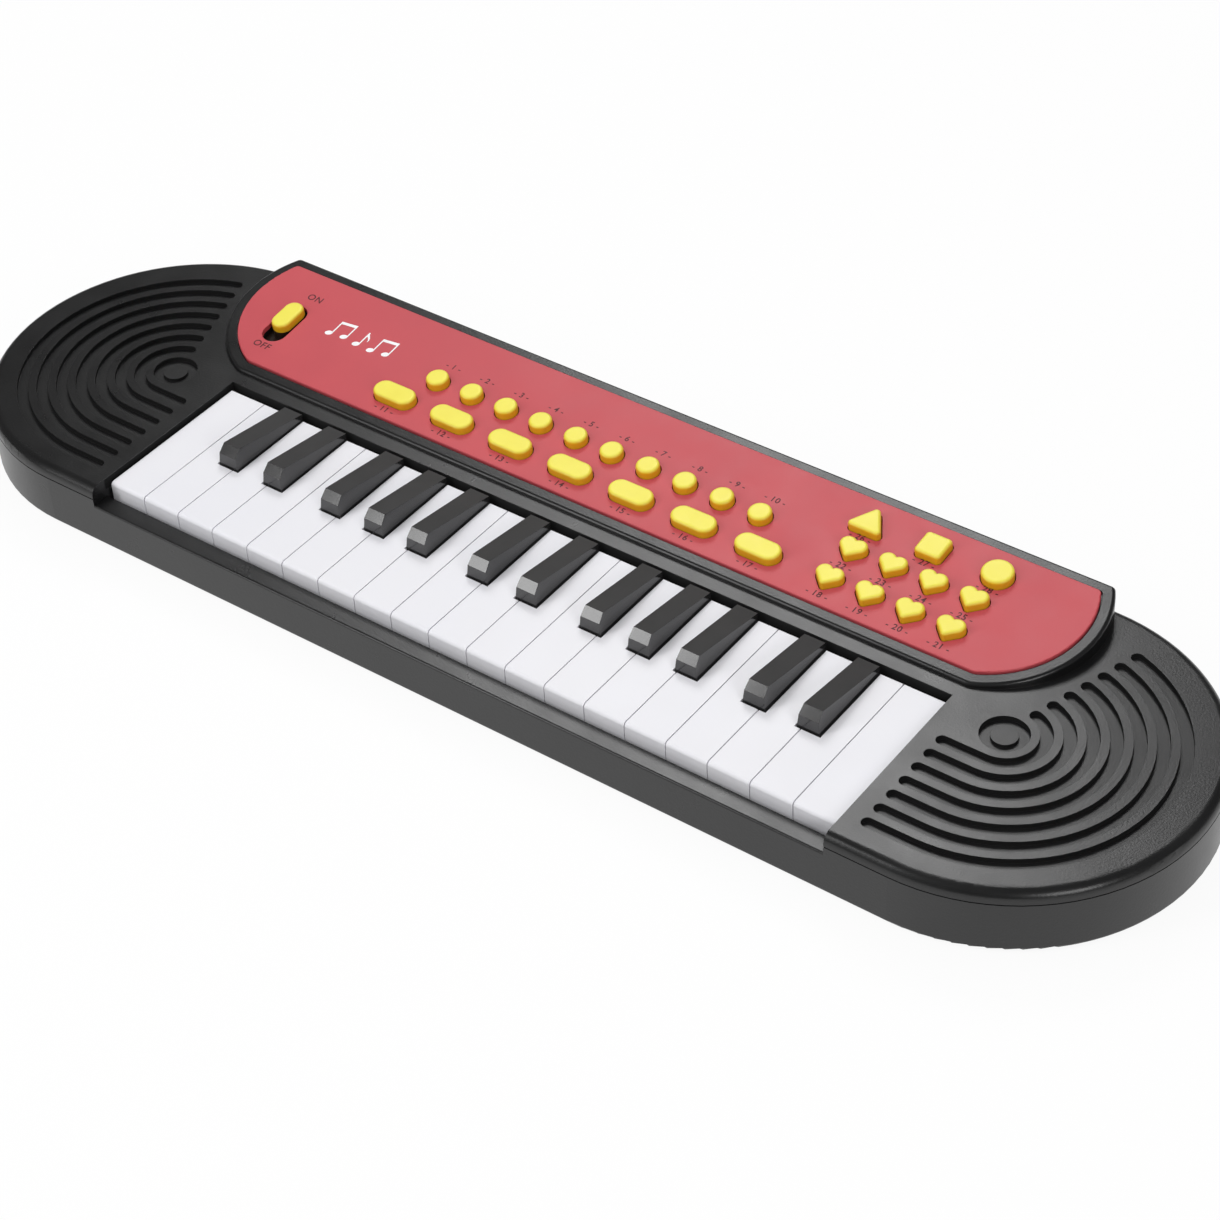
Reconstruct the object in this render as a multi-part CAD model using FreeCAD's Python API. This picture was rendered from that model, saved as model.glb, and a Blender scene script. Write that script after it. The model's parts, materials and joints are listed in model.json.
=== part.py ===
import FreeCAD, Part
import math
import os

os.makedirs("parts", exist_ok=True)

Vec = FreeCAD.Vector
UP = Vec(0, 0, 1)
ACROSS = Vec(1, 0, 0)

# Key bed: every piece along X is placed from the white-key pitch
key_pitch = 16.0
white_count = 19
key_gap = 0.4
white_visible = 63.9
white_plate = 2.4
white_skirt = 1.8
white_skirt_height = 8.7
white_front_round = 1.5
black_place_shares = (1.86, 3.15, 4.81, 6.03, 7.21, 8.86, 10.15, 11.81, 13.03, 14.21, 15.86, 17.15)
black_width = 8.6
black_front_share = 0.458
black_rise = 7.8
black_rear_rise = 2.4
black_bevel_run = 3.0
black_bevel_share = 0.61
black_front_lean = 0.3
black_side_lean = 0.75
black_root = 3.4
black_rear_gap = 1.3
black_clear = 0.6
spine_width = 4.0
spine_height = 6.3
spine_clear = 1.3
spine_front = 4.0
spine_step_gap = 3.0

# Key pivot and travel
rod_radius = 1.5
eye_radius = 3.2
eye_clear = 0.05
pivot_behind = 8.1
key_dip = 3.3
post_width = 2.0
post_foot = 8.0

# Case
front_rim = 8.7
rear_opening_gap = 2.0
side_opening_gap = 0.7
bridge_strip = 5.75
end_overhang = 23.4
wall = 2.2
edge_lean = 0.4
edge_round = 3.6
seam_drop = 4.5
ledge_round = 0.8
seam_rebate = 0.4
seam_rebate_height = 0.4
ledge_drop = 7.6
ledge_gap = 1.9
key_drop = 2.4
cheek_wall = 2.2
foot_edge_round = 1.2

# Raised control block, its sloped face rises to the rear
block_tilt = 7.3
block_front_rise = 1.5
block_rear_inset = 0.4
block_end_radius = 40.3
block_end_overhang = 5.5
block_front_share = 0.934
block_corner = 8.0
block_rear_corner = 2.0
block_round = 1.3
bezel = 4.2
bezel_rear = 4.1
panel_proud = 0.9
panel_thick = 1.9
panel_fit = 0.5
panel_round = 0.45
deck = 2.2

# Button rows in the sloped face, from its front edge and from its right end
row_front = 10.85
row_gap = 5.2
heart_row_gap = 5.75
shape_gap = 4.1
row_rear_margin = 10.2
pill_count = 7
pill_spacing = 26.15
pill_length = 17.5
cap_width = 8.5
round_count = 10
round_strip = 5
round_aside = 8.4
round_spacing = 15.5
heart_count = 4
heart_end_gap = 42.15
heart_spacing = 15.45
heart_gap = 16.65
heart_lobe = 3.0
heart_lobe_x = 2.1
heart_lobe_y = 1.1
heart_tip = 1.3
heart_tip_y = 3.3
triangle_aside = 1.3
triangle_half = 4.7
triangle_height = 7.6
triangle_round = 1.5
square_half = 3.4
square_round = 1.6
circle_width = 11.2
circle_aside = 1.2
cap_proud = 3.2
cap_round = 1.2
cap_gap = 0.35
flange_reach = 1.2
flange_thick = 1.0
flange_gap = 0.15
stem_radius = 1.9
stem_length = 1.15
cap_travel = 1.5
contact_gap = 0.15
strip_web = 3.0

# Slide switch, from the left end of the block
switch_end_gap = 26.2
switch_forward = 2.0
switch_slot_width = 10.0
switch_slot_length = 21.0
switch_width = 7.9
switch_length = 14.4
switch_proud = 3.0
switch_stop_gap = 1.0
switch_flange_side = 1.6
switch_body = 9.0
switch_body_height = 2.4

# Boards and rubber pads
pad_height = 0.5
pad_sheet = 0.8
board_thick = 1.6
board_clear = 0.4
board_front_clear = 2.0
board_rear_gap = 9.4
board_end_gap = 17.0
sheet_inset = 7.0
sheet_edge = 0.5
sheet_rim = 2.0
boss_radius = 3.0
boss_inset = 4.5
key_board_depth = 26.0
key_board_share = 0.6
key_board_lift = 2.6
key_pad_height = 1.4
key_pad_radius = 2.2
key_board_rib = 3.0
key_board_rib_count = 5

# Battery bay
cell_row_count = 2
cell_radius = 7.25
cell_length = 49.2
cell_nub = 1.3
cell_nub_radius = 2.75
cell_clear = 0.2
bay_roof = 1.0
bay_wall = 1.6
bay_rear_gap = 4.5
contact_plate = 0.5
contact_bump = 3.0
contact_bump_radius = 3.0
contact_half = 5.0
lead_radius = 0.8
lead_hole = 0.3
speaker_lead_drop = 1.6
speaker_lead_inset = 9.0

# Battery door
door_gap = 0.35
door_lap = 3.0
door_pin = 0.6
door_pin_reach = 1.6
door_pin_clear = 0.05
grip_radius = 9.0
grip_depth = 1.0

# Grilles
groove_count = 7
groove_width = 4.2
groove_pitch = 7.17
groove_first = 13.1
groove_depth = 1.8
groove_start = 6.0
groove_end_deg = 72.0
quarter_deg = 90.0
ring_outer = 8.1
ring_inner = 4.5
ring_disc_drop = 0.6
ring_forward = 1.5

# Speakers
speaker_radius = 19.0
speaker_flange = 2.0
speaker_basket = 5.5
speaker_magnet = 5.0
speaker_magnet_radius = 9.5
speaker_fit = 0.2
speaker_ring = 1.6
sound_slot = 2.4
sound_slot_pitch = 5.0
sound_slot_count = 5
sound_slot_length = 22.0

# Screws and feet
screw_radius = 1.4
screw_head_radius = 2.7
screw_head = 1.8
screw_bite = 2.6
screw_clear = 0.2
screw_recess = 4.0
column_radius = 3.9
column_inset = 5.0
column_turn_deg = 62.0
rear_column_x = 84.0
foot_radius = 6.0
foot_height = 1.2
foot_turn_deg = 40.0
foot_inset = 16.0

# Overrun of cuts, and the slack within which two places count as one
overrun = 1.0
tiny = 0.001

# Derived plan positions, Y is zero on the middle line of the case
cos_tilt = math.cos(math.radians(block_tilt))
sin_tilt = math.sin(math.radians(block_tilt))
bed_half = white_count * key_pitch / 2
open_half = bed_half + side_opening_gap
end_x = bed_half + end_overhang
speaker_x = max(end_x, open_half + cheek_wall + speaker_radius + speaker_fit)
pill_v = row_front + cap_width / 2
round_v = pill_v + cap_width + row_gap
heart_top = heart_lobe_y + heart_lobe
heart_front_v = pill_v + heart_lobe_y / 2
heart_rear_v = heart_front_v + heart_top + heart_tip_y + heart_tip + heart_row_gap
shape_v = heart_rear_v + heart_top + shape_gap + triangle_height / 2 + triangle_round
face_depth = shape_v + circle_width / 2 + row_rear_margin
block_depth = face_depth * cos_tilt
case_depth = front_rim + white_visible + rear_opening_gap + bridge_strip + block_depth + block_rear_inset
end_r = case_depth / 2
case_half = end_x + end_r
key_y = front_rim - end_r
ledge_rear_y = key_y - ledge_gap
open_y = key_y + white_visible + rear_opening_gap
block_y = open_y + bridge_strip
block_rear_y = block_y + block_depth
block_half = end_x + block_end_overhang
block_end_x = block_half - block_end_radius
pivot_y = open_y + pivot_behind
cheek_rear_y = pivot_y + eye_radius + cheek_wall

# Derived heights, built up from the table
base_z = foot_height
floor_z = base_z + wall
bay_inside = cell_row_count * (2 * cell_radius + cell_clear) + cell_clear
bay_half = cell_length + cell_nub + contact_bump + contact_plate
door_half = bay_half - door_lap
bay_rear_y = end_r - wall - bay_rear_gap
bay_y = bay_rear_y - bay_inside
hinge_y = bay_rear_y - door_gap - wall / 2
hinge_z = base_z + wall / 2
cell_z = floor_z + cell_clear + cell_radius
bay_roof_z = cell_z + cell_radius + cell_clear
stack = panel_thick - panel_proud + deck + flange_gap + flange_thick + stem_length + cap_travel
stack = stack + contact_gap + pad_height + pad_sheet + board_thick
face_over_bay = bay_roof_z + bay_roof + board_clear + stack / cos_tilt
face_z = face_over_bay - (bay_y - bay_wall - block_y) * sin_tilt / cos_tilt
top_z = face_z - block_front_rise
seam_z = top_z - seam_drop
ledge_z = top_z - ledge_drop
key_z = top_z - key_drop
plate_z = key_z - white_plate
spine_z = seam_z - spine_clear
spine_low_z = spine_z - spine_height
pivot_z = spine_z - eye_radius
key_reach = pivot_y - key_y
key_turn_deg = math.degrees(math.asin(key_dip / key_reach))
key_board_y = key_y + white_visible * key_board_share
key_board_z = floor_z + key_board_lift
key_pad_z = key_board_z + board_thick + pad_sheet + key_pad_height
plunger_drop = (pivot_y - key_board_y + key_pad_radius) * math.sin(math.radians(key_turn_deg))
plunger_z = key_pad_z + plunger_drop + contact_gap
black_y = key_y + white_visible * black_front_share
black_after = [round(share) for share in black_place_shares]
far = case_depth

# Derived heights over the sloped face and depths below it
cap_w = panel_proud + cap_proud
knob_w = panel_proud + switch_proud
seat_w = panel_proud - panel_thick
deck_w = seat_w - deck
flange_w = deck_w - flange_gap
stem_w = flange_w - flange_thick
tip_w = stem_w - stem_length
pad_w = tip_w - cap_travel - contact_gap
sheet_w = pad_w - pad_height
board_w = sheet_w - pad_sheet
board_low_w = board_w - board_thick
board_front_v = (cheek_rear_y + board_front_clear - block_y + sheet_w * sin_tilt) / cos_tilt
board_rear_v = face_depth - board_rear_gap
board_half = block_half - board_end_gap

# Derived places along the button rows
heart_last = block_half - heart_end_gap
heart_first = heart_last - heart_spacing * (heart_count - 1)
pill_last = heart_first - heart_lobe_x - heart_gap - pill_length / 2
pill_first = pill_last - pill_spacing * (pill_count - 1)
round_first = pill_last - round_aside - round_spacing * (round_count - 1)
switch_x = switch_end_gap - block_half
switch_v = round_v - switch_forward
switch_travel = switch_slot_length - switch_length - 2 * switch_stop_gap
switch_skid_half = switch_slot_width / 2 + switch_flange_side
switch_skid_reach = (switch_slot_length + switch_travel) / 2 + switch_flange_side


def box(x0, x1, y0, y1, z0, z1):
    return Part.makeBox(x1 - x0, y1 - y0, z1 - z0, Vec(x0, y0, z0))


def disc(x, y, z0, z1, radius):
    return Part.makeCylinder(radius, z1 - z0, Vec(x, y, z0))


def bar_x(x0, x1, y, z, radius):
    return Part.makeCylinder(radius, x1 - x0, Vec(x0, y, z), ACROSS)


def join(shapes):
    first = shapes[0]
    if len(shapes) == 1:
        return first
    return first.fuse(shapes[1:]).removeSplitter()


def mirrored(shape):
    return shape.mirror(Vec(0, 0, 0), ACROSS)


def both_sides(shape):
    return [shape, mirrored(shape)]


def sloped(shape):
    out = shape.copy()
    slope = FreeCAD.Placement(Vec(0, block_y, face_z), FreeCAD.Rotation(ACROSS, block_tilt))
    out.Placement = slope.multiply(shape.Placement)
    return out


def level_edges(shape, z):
    return [e for e in shape.Edges if abs(e.BoundBox.ZMin - z) < tiny and abs(e.BoundBox.ZMax - z) < tiny]


def stadium(radius, z0, z1):
    a, b = Vec(-end_x, -radius, z0), Vec(end_x, -radius, z0)
    c, d = Vec(end_x, radius, z0), Vec(-end_x, radius, z0)
    right = Part.Arc(b, Vec(end_x + radius, 0, z0), c).toShape()
    left = Part.Arc(d, Vec(-end_x - radius, 0, z0), a).toShape()
    wire = Part.Wire([Part.makeLine(a, b), right, Part.makeLine(c, d), left])
    return Part.Face(wire).extrude(Vec(0, 0, z1 - z0))


def leaning_slab(z0, z1):
    # Plate whose outer wall leans inward from its foot to its top
    small = end_r - edge_lean
    ends = both_sides(Part.makeCone(end_r, small, z1 - z0, Vec(end_x, 0, z0)))
    ring = [Vec(-end_x, -end_r, z0), Vec(-end_x, end_r, z0), Vec(-end_x, small, z1), Vec(-end_x, -small, z1)]
    middle = Part.Face(Part.makePolygon(ring + [ring[0]])).extrude(ACROSS * (2 * end_x))
    return join([middle] + ends)


def hull_face(points, radius):
    # Rounded outline round one point, two points or a convex ring of points
    if len(points) == 1:
        circle = Part.makeCircle(radius, Vec(points[0][0], points[0][1], 0))
        return Part.Face(Part.Wire([circle]))
    edges = []
    corners = []
    count = len(points)
    for i in range(count):
        p, q = Vec(*points[i], 0), Vec(*points[(i + 1) % count], 0)
        along = (q - p).normalize()
        out = Vec(along.y, -along.x, 0)
        corners.append((p, q, out))
    for i in range(count):
        p, q, out = corners[i]
        after = corners[(i + 1) % count][2]
        turn = (out + after)
        if turn.Length < tiny:
            turn = (q - p)
        turn.normalize()
        start, end = q + out * radius, q + after * radius
        edges.append(Part.makeLine(p + out * radius, start))
        edges.append(Part.Arc(start, q + turn * radius, end).toShape())
    return Part.Face(Part.Wire(edges))


def prism(points, radius, z0, z1):
    face = hull_face(points, radius)
    face.translate(Vec(0, 0, z0))
    return face.extrude(Vec(0, 0, z1 - z0))


def heart(x, y, grow, z0, z1):
    left, right = (x - heart_lobe_x, y + heart_lobe_y), (x + heart_lobe_x, y + heart_lobe_y)
    tip = (x, y - heart_tip_y)
    lobes = []
    for lobe in (left, right):
        shaft = hull_lobe(lobe, tip, heart_lobe + grow, heart_tip + grow)
        shaft.translate(Vec(0, 0, z0))
        lobes.append(shaft.extrude(Vec(0, 0, z1 - z0)))
    middle = Part.Face(Part.makePolygon([Vec(*p, z0) for p in (left, tip, right, left)]))
    return join(lobes + [middle.extrude(Vec(0, 0, z1 - z0))])


def hull_lobe(big, small, big_radius, small_radius):
    # Outline round a large and a small circle with their two outer tangents
    a, b = Vec(*big, 0), Vec(*small, 0)
    gap = b - a
    lean = math.acos((big_radius - small_radius) / gap.Length)
    heading = math.atan2(gap.y, gap.x)
    ends = []
    for side in (-1, 1):
        out = Vec(math.cos(heading + side * lean), math.sin(heading + side * lean), 0)
        ends.append((a + out * big_radius, b + out * small_radius))
    (a0, b0), (a1, b1) = ends
    ahead = gap.normalize()
    near = Part.Arc(a1, a - ahead * big_radius, a0).toShape()
    tip = Part.Arc(b0, b + ahead * small_radius, b1).toShape()
    wire = Part.Wire([near, Part.makeLine(a0, b0), tip, Part.makeLine(b1, a1)])
    return Part.Face(wire)


def black_x(index):
    return -bed_half + black_place_shares[index] * key_pitch


def white_rear_span(index):
    # Part of the white key left between its black neighbours
    low = -bed_half + index * key_pitch + key_gap / 2
    high = low + key_pitch - key_gap
    half = black_width / 2 + black_clear
    for i in range(len(black_after)):
        if black_after[i] == index:
            low = black_x(i) + half
        if black_after[i] == index + 1:
            high = black_x(i) - half
    return low, high


def key_arm(x, front, upper_z):
    half = spine_width / 2
    step = open_y - spine_step_gap
    arm = box(x - half, x + half, front, step, spine_low_z, upper_z)
    tail = box(x - half, x + half, front, pivot_y, spine_low_z, spine_z)
    eye = bar_x(x - half, x + half, pivot_y, pivot_z, eye_radius)
    plunger = disc(x, key_board_y, plunger_z, spine_low_z + spine_height / 2, key_pad_radius)
    return [arm, tail, eye, plunger]


def key_bore(x):
    return bar_x(x - spine_width, x + spine_width, pivot_y, pivot_z, rod_radius + eye_clear)


def white_key(index):
    low = -bed_half + index * key_pitch + key_gap / 2
    high = low + key_pitch - key_gap
    plate = box(low, high, key_y, key_y + white_visible, plate_z, key_z)
    skirt = box(low, high, key_y, key_y + white_skirt, key_z - white_skirt_height, key_z)
    top = join([plate, skirt])
    lip = [e for e in level_edges(top, key_z) if abs(e.BoundBox.YMax - key_y) < tiny]
    top = top.makeFillet(white_front_round, lip)
    rear_low, rear_high = white_rear_span(index)
    notch_y = black_y - black_clear
    z0, z1 = plate_z - overrun, key_z + overrun
    if rear_low > low + tiny:
        top = top.cut(box(low - key_gap, rear_low, notch_y, far, z0, z1))
    if rear_high < high - tiny:
        top = top.cut(box(rear_high, high + key_gap, notch_y, far, z0, z1))
    x = (rear_low + rear_high) / 2
    key = join([top] + key_arm(x, key_y + spine_front, plate_z + white_plate / 2))
    return key.cut(key_bore(x))


def black_key(index):
    x = black_x(index)
    half = black_width / 2
    root_z = key_z - black_root
    rear = open_y - black_rear_gap
    bevel_z = key_z + black_rise * black_bevel_share
    front = [(black_y, root_z), (black_y, key_z), (black_y + black_front_lean, bevel_z)]
    crest = [(black_y + black_bevel_run, key_z + black_rise), (rear, key_z + black_rear_rise)]
    profile = front + crest + [(rear, root_z)]
    ring = [Vec(x - half, y, z) for y, z in profile]
    body = Part.Face(Part.makePolygon(ring + [ring[0]])).extrude(Vec(black_width, 0, 0))
    for side in (-1, 1):
        edge = x + side * half
        lean_x = edge - side * black_side_lean
        out_x = edge + side * half
        flank = [Vec(edge, -far, key_z), Vec(out_x, -far, key_z), Vec(out_x, -far, key_z + black_rise),
                 Vec(lean_x, -far, key_z + black_rise)]
        body = body.cut(Part.Face(Part.makePolygon(flank + [flank[0]])).extrude(Vec(0, far + far, 0)))
    arm = key_arm(x, black_y + spine_front, root_z + black_root / 2)
    return join([body] + arm).cut(key_bore(x))


def block_face(inset, inset_rear, rear_corner, grow_corner):
    # Straight front and rear, bulging ends, inset from the block outline
    radius = block_end_radius - inset
    front = inset
    rear = face_depth - inset_rear
    centre = block_front_share * block_end_radius
    front_x = block_end_x + math.sqrt(radius ** 2 - (centre - front) ** 2)
    rear_x = block_end_x + math.sqrt(radius ** 2 - (rear - centre) ** 2)
    a, b = Vec(-front_x, front, 0), Vec(front_x, front, 0)
    c, d = Vec(rear_x, rear, 0), Vec(-rear_x, rear, 0)
    right = Part.Arc(b, Vec(block_end_x + radius, centre, 0), c).toShape()
    left = Part.Arc(d, Vec(-block_end_x - radius, centre, 0), a).toShape()
    solid = Part.Face(Part.Wire([Part.makeLine(a, b), right, Part.makeLine(c, d), left])).extrude(UP)
    for y, size in ((front, grow_corner), (rear, rear_corner)):
        posts = [e for e in solid.Edges if e.BoundBox.ZLength > tiny and abs(e.CenterOfMass.y - y) < tiny]
        solid = solid.makeFillet(size, posts)
    return [f for f in solid.Faces if abs(f.CenterOfMass.z) < tiny][0]


def outline_prism(face, w0, w1):
    low = face.copy()
    low.translate(Vec(0, 0, w0))
    return low.extrude(Vec(0, 0, w1 - w0))


def upright_prism(face, w):
    # Plumb walls below an outline that lies in the slope
    top = face.copy()
    top.translate(Vec(0, 0, w))
    return sloped(top).extrude(UP * -far)


def caps():
    # Every button: name, outlines of its caps and where its stems stand
    rows = []
    for i in range(pill_count):
        x = pill_first + i * pill_spacing
        half = (pill_length - cap_width) / 2
        ring = [(x - half, pill_v), (x + half, pill_v)]
        rows.append(("button_pill_%d" % (i + 1), [("hull", ring, cap_width / 2)]))
    for strip in range(round_count // round_strip):
        group = []
        for i in range(round_strip):
            x = round_first + (strip * round_strip + i) * round_spacing
            group.append(("hull", [(x, round_v)], cap_width / 2))
        rows.append(("button_rounds_%d" % (strip + 1), group))
    for row, v in enumerate((heart_front_v, heart_rear_v)):
        group = [("heart", [(heart_first + i * heart_spacing, v)], 0) for i in range(heart_count)]
        rows.append(("button_hearts_%d" % (row + 1), group))
    x = heart_first - triangle_aside
    low, high = shape_v - triangle_height / 2, shape_v + triangle_height / 2
    ring = [(x - triangle_half, low), (x + triangle_half, low), (x, high)]
    rows.append(("button_triangle", [("hull", ring, triangle_round)]))
    x = (heart_first + heart_last) / 2
    ring = [(x - square_half, shape_v - square_half), (x + square_half, shape_v - square_half),
            (x + square_half, shape_v + square_half), (x - square_half, shape_v + square_half)]
    rows.append(("button_square", [("hull", ring, square_round)]))
    x = heart_last + circle_aside
    rows.append(("button_circle", [("hull", [(x, shape_v)], circle_width / 2)]))
    return rows


def cap_solid(cap, grow, w0, w1):
    kind, points, radius = cap
    if kind == "heart":
        return heart(points[0][0], points[0][1], grow, w0, w1)
    return prism(points, radius + grow, w0, w1)


def cap_centre(cap):
    points = cap[1]
    x = sum(p[0] for p in points) / len(points)
    y = sum(p[1] for p in points) / len(points)
    return x, y


def button(group):
    solids = []
    for cap in group:
        top = cap_solid(cap, 0, stem_w, cap_w)
        top = top.makeFillet(cap_round, level_edges(top, cap_w))
        x, y = cap_centre(cap)
        stem = disc(x, y, tip_w, flange_w, stem_radius)
        solids += [top, cap_solid(cap, flange_reach, stem_w, flange_w), stem]
    if len(group) > 1:
        x0, y0 = cap_centre(group[0])
        x1 = cap_centre(group[-1])[0]
        half = strip_web / 2
        solids.append(box(x0, x1, y0 - half, y0 + half, stem_w, flange_w))
    return sloped(join(solids))


def switch_points(length, width, centre_v):
    half = (length - width) / 2
    return [(switch_x, centre_v - half), (switch_x, centre_v + half)]


def switch_knob():
    rest_v = switch_v + switch_travel / 2
    ring = switch_points(switch_length, switch_width, rest_v)
    knob = prism(ring, switch_width / 2, stem_w, knob_w)
    knob = knob.makeFillet(cap_round, level_edges(knob, knob_w))
    x0, x1 = switch_x - switch_skid_half, switch_x + switch_skid_half
    v0, v1 = rest_v - switch_skid_reach, rest_v + switch_skid_reach
    skid = box(x0, x1, v0, v1, stem_w, flange_w)
    stem = disc(switch_x, rest_v, board_w + switch_body_height + contact_gap, flange_w, stem_radius)
    return sloped(join([knob, skid, stem]))


def face_holes(w0, w1):
    holes = []
    for name, group in caps():
        for cap in group:
            holes.append(cap_solid(cap, cap_gap, w0, w1))
    ring = switch_points(switch_slot_length, switch_slot_width, switch_v)
    holes.append(prism(ring, switch_slot_width / 2, w0, w1))
    return holes


def boss_places():
    # Two beside the slide switch, two at the right end and one behind the round buttons
    left = (switch_x + switch_skid_half + pill_first - pill_length / 2 - flange_reach) / 2
    right = board_half - boss_inset
    middle = (pill_first + pill_spacing + round_first + round_spacing) / 2
    rear = board_rear_v - boss_inset
    return [(x, v) for x in (left, right) for v in (board_front_v + boss_inset, rear)] + [(middle, rear)]


def groove(radius):
    # Straight run beside the keys, then an arc round the ring to the rear
    half = groove_width / 2
    low = top_z - groove_depth
    x0 = open_half + groove_start + half
    centre = Vec(end_x, -ring_forward, low)
    height = groove_depth + overrun
    outer = Part.makeCylinder(radius + half, height, centre, UP, groove_end_deg + quarter_deg)
    inner = Part.makeCylinder(radius - half, height, centre, UP, groove_end_deg + quarter_deg)
    arc = outer.cut(inner)
    arc.rotate(centre, UP, -quarter_deg)
    y = -ring_forward - radius
    run = box(x0, end_x, y - half, y + half, low, low + height)
    turn = math.radians(groove_end_deg)
    tail_x, tail_y = end_x + radius * math.cos(turn), radius * math.sin(turn) - ring_forward
    tail = disc(tail_x, tail_y, low, low + height, half)
    return join([arc, run, disc(x0, y, low, low + height, half), tail])


def grille():
    # Round recess with a disc standing in it, and the grooves round that
    low = top_z - groove_depth
    ring = disc(end_x, -ring_forward, low, top_z + overrun, ring_outer)
    ring = ring.cut(disc(end_x, -ring_forward, low, top_z - ring_disc_drop, ring_inner))
    return [ring] + [groove(groove_first + i * groove_pitch) for i in range(groove_count)]


def column_places():
    radius = end_r - column_inset
    places = []
    for side in (-1, 1):
        for turn in (-column_turn_deg, 0, column_turn_deg):
            a = math.radians(turn)
            places.append((side * (end_x + radius * math.cos(a)), radius * math.sin(a)))
        places.append((side * rear_column_x, block_rear_y - wall / 2 - boss_radius))
    return places


def top_case():
    slab = leaning_slab(seam_z, top_z)
    slab = slab.makeFillet(edge_round, level_edges(slab, top_z))
    slab = slab.cut(box(-open_half, open_half, -far, open_y, seam_z - overrun, top_z + overrun))
    for cut in grille():
        slab = slab.cut(both_sides(cut))
    outer = upright_prism(block_face(0, 0, block_rear_corner, block_corner), 0)
    block = outer.common(box(-case_half, case_half, -far, far, seam_z, top_z + far))
    rim = [e for e in block.Edges if on_face(e)]
    block = block.makeFillet(block_round, rim)
    case = slab.fuse(block).removeSplitter()
    hollow = block_face(wall, wall, block_rear_corner, block_corner)
    case = case.cut(upright_prism(hollow, deck_w))
    pocket = block_face(bezel, bezel_rear, block_rear_corner, block_corner - bezel / 2)
    case = case.cut(sloped(outline_prism(pocket, seat_w, overrun)))
    case = case.cut([sloped(h) for h in face_holes(deck_w - overrun, seat_w + overrun)])
    bosses = [sloped(disc(x, v, board_w, deck_w + deck / 2, boss_radius)) for x, v in boss_places()]
    for x, y in column_places():
        if abs(x) < end_x:
            lift = face_z + (y - block_y) * sin_tilt / cos_tilt + deck_w + deck / 2
            bosses.append(disc(x, y, seam_z, lift, boss_radius))
    case = case.fuse(bosses).removeSplitter()
    pilot_z = seam_z + screw_bite + screw_clear
    return case.cut([disc(x, y, seam_z - overrun, pilot_z, screw_radius) for x, y in column_places()])


def on_face(edge):
    for vertex in edge.Vertexes:
        p = vertex.Point
        if abs((p.z - face_z) * cos_tilt - (p.y - block_y) * sin_tilt) > tiny:
            return False
    return True


def control_panel():
    side, rear = bezel + panel_fit, bezel_rear + panel_fit
    face = block_face(side, rear, block_rear_corner, block_corner - bezel / 2)
    plate = outline_prism(face, seat_w, panel_proud)
    plate = plate.makeFillet(panel_round, level_edges(plate, panel_proud))
    return sloped(plate.cut(face_holes(seat_w - overrun, panel_proud + overrun)))


def post_xs():
    bounds = [i for i in range(1, white_count) if i not in black_after]
    return [-bed_half + i * key_pitch for i in bounds]


def door_box(grow):
    return door_half + grow, bay_y + door_gap - grow, bay_rear_y - door_gap + grow


def bottom_shell():
    # Tub with a rebate under the seam and a front ledge below the keys
    shell = stadium(end_r, base_z, seam_z)
    shell = shell.makeFillet(foot_edge_round, level_edges(shell, base_z))
    rebate_z = seam_z - seam_rebate_height
    band = stadium(end_r + overrun, rebate_z, seam_z + overrun)
    core = stadium(end_r - seam_rebate, rebate_z - overrun, seam_z + 2 * overrun)
    shell = shell.cut(band.cut(core))
    shell = shell.cut(stadium(end_r - wall, floor_z, seam_z + overrun))
    return shell.cut(box(-open_half, open_half, -far, ledge_rear_y, ledge_z, seam_z + overrun))


def key_well():
    # Ledge, cheek walls beside the keys and the posts that hold the pivot rod
    outer = open_half + cheek_wall
    front = wall / 2 - end_r
    root_z = floor_z - wall / 2
    pieces = [box(-outer, outer, front, ledge_rear_y, ledge_z - wall, ledge_z)]
    pieces += both_sides(box(open_half, outer, front, cheek_rear_y, root_z, seam_z))
    for x in post_xs():
        x0, x1 = x - post_width / 2, x + post_width / 2
        pieces.append(box(x0, x1, pivot_y - post_foot, pivot_y + post_foot, root_z, pivot_z))
        pieces.append(bar_x(x0, x1, pivot_y, pivot_z, eye_radius))
    return pieces


def battery_bay():
    half = bay_half + bay_wall
    top = bay_roof_z + bay_roof
    bay = box(-half, half, bay_y - bay_wall, bay_rear_y + bay_wall, floor_z - wall / 2, top)
    return bay.cut(box(-bay_half, bay_half, bay_y, bay_rear_y, base_z - overrun, bay_roof_z))


def speaker_seat():
    x, y = speaker_x, -ring_forward
    inner = speaker_radius + speaker_fit
    seat = disc(x, y, floor_z - wall / 2, floor_z + speaker_flange, inner + speaker_ring)
    return seat.cut(disc(x, y, floor_z - wall, floor_z + speaker_flange + overrun, inner))


def sound_slots():
    slots = []
    run = (sound_slot_length - sound_slot) / 2
    for i in range(sound_slot_count):
        y = -ring_forward + (i - (sound_slot_count - 1) / 2) * sound_slot_pitch
        ring = [(speaker_x - run, y), (speaker_x + run, y)]
        slots.append(prism(ring, sound_slot / 2, base_z - overrun, floor_z + overrun))
    return slots


def door_cuts():
    half, y0, y1 = door_box(door_gap)
    reach = door_half + door_pin_reach + door_gap
    opening = box(-half, half, y0, y1, base_z - overrun, floor_z)
    sockets = bar_x(-reach, reach, hinge_y, hinge_z, door_pin + door_pin_clear)
    grip = disc(0, y0, base_z - overrun, base_z + grip_depth, grip_radius)
    return [opening, sockets, grip]


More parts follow.
